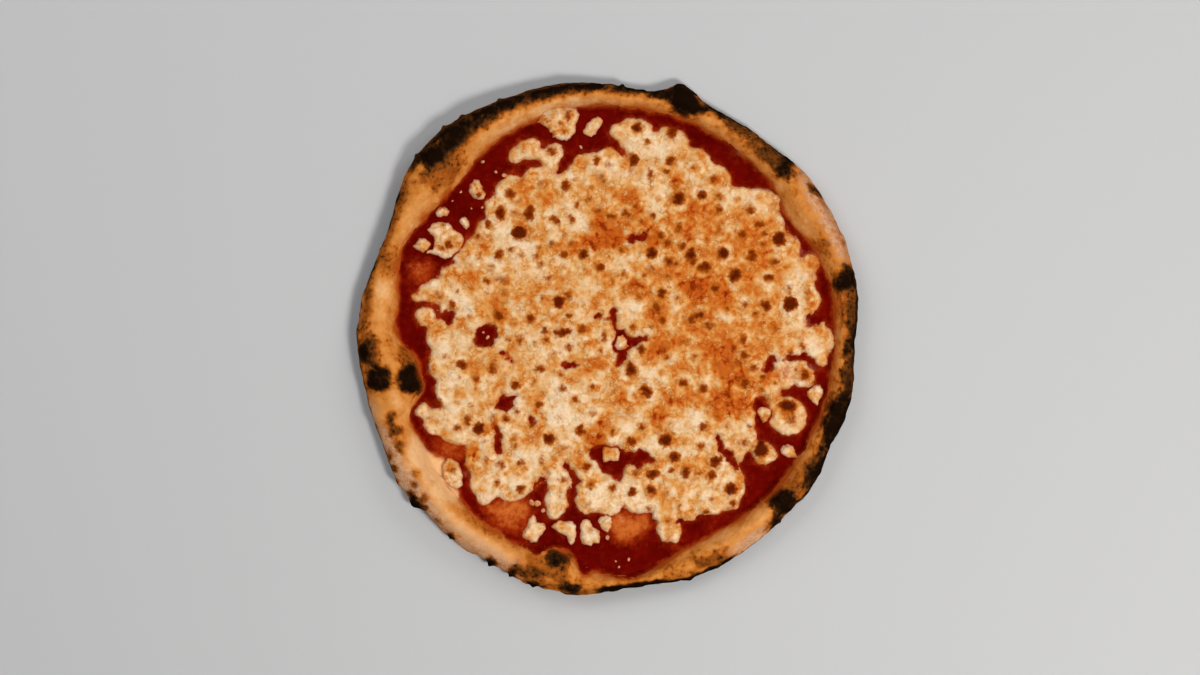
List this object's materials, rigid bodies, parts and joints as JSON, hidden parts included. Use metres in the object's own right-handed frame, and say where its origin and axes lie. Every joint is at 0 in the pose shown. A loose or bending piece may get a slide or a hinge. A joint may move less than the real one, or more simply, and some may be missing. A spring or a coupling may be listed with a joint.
{
  "type": "margherita pizza",
  "caption": "Whole round margherita pizza with a puffed, charred rim, tomato sauce, melted mozzarella with browned spots and loose lumps of cheese.",
  "frame": {"origin": "centre of the pizza's bounding box, on its flat underside", "axes": "+Z up, out of the topped side; +X right and +Y up in the view from above"},
  "size_m": [0.3008, 0.3078, 0.0218],
  "materials": {
    "crust": "dry baked dough, golden with charred blisters",
    "sauce": "wet, glossy, deep red",
    "cheese": "soft oily sheen, cream with browned spots"
  },
  "bodies": {
    "root": {"dough": "crust", "tomato_sauce": "sauce", "cheese_sheet": "cheese", "cheese_lump_01": "cheese", "cheese_lump_02": "cheese", "cheese_lump_03": "cheese", "cheese_lump_04": "cheese", "cheese_lump_05": "cheese", "cheese_lump_06": "cheese", "cheese_lump_07": "cheese", "cheese_lump_08": "cheese", "cheese_lump_09": "cheese", "cheese_lump_10": "cheese", "cheese_lump_11": "cheese", "cheese_lump_12": "cheese", "cheese_lump_13": "cheese", "cheese_lump_14": "cheese", "cheese_lump_15": "cheese", "cheese_lump_16": "cheese", "cheese_lump_17": "cheese"}
  },
  "joints": []
}
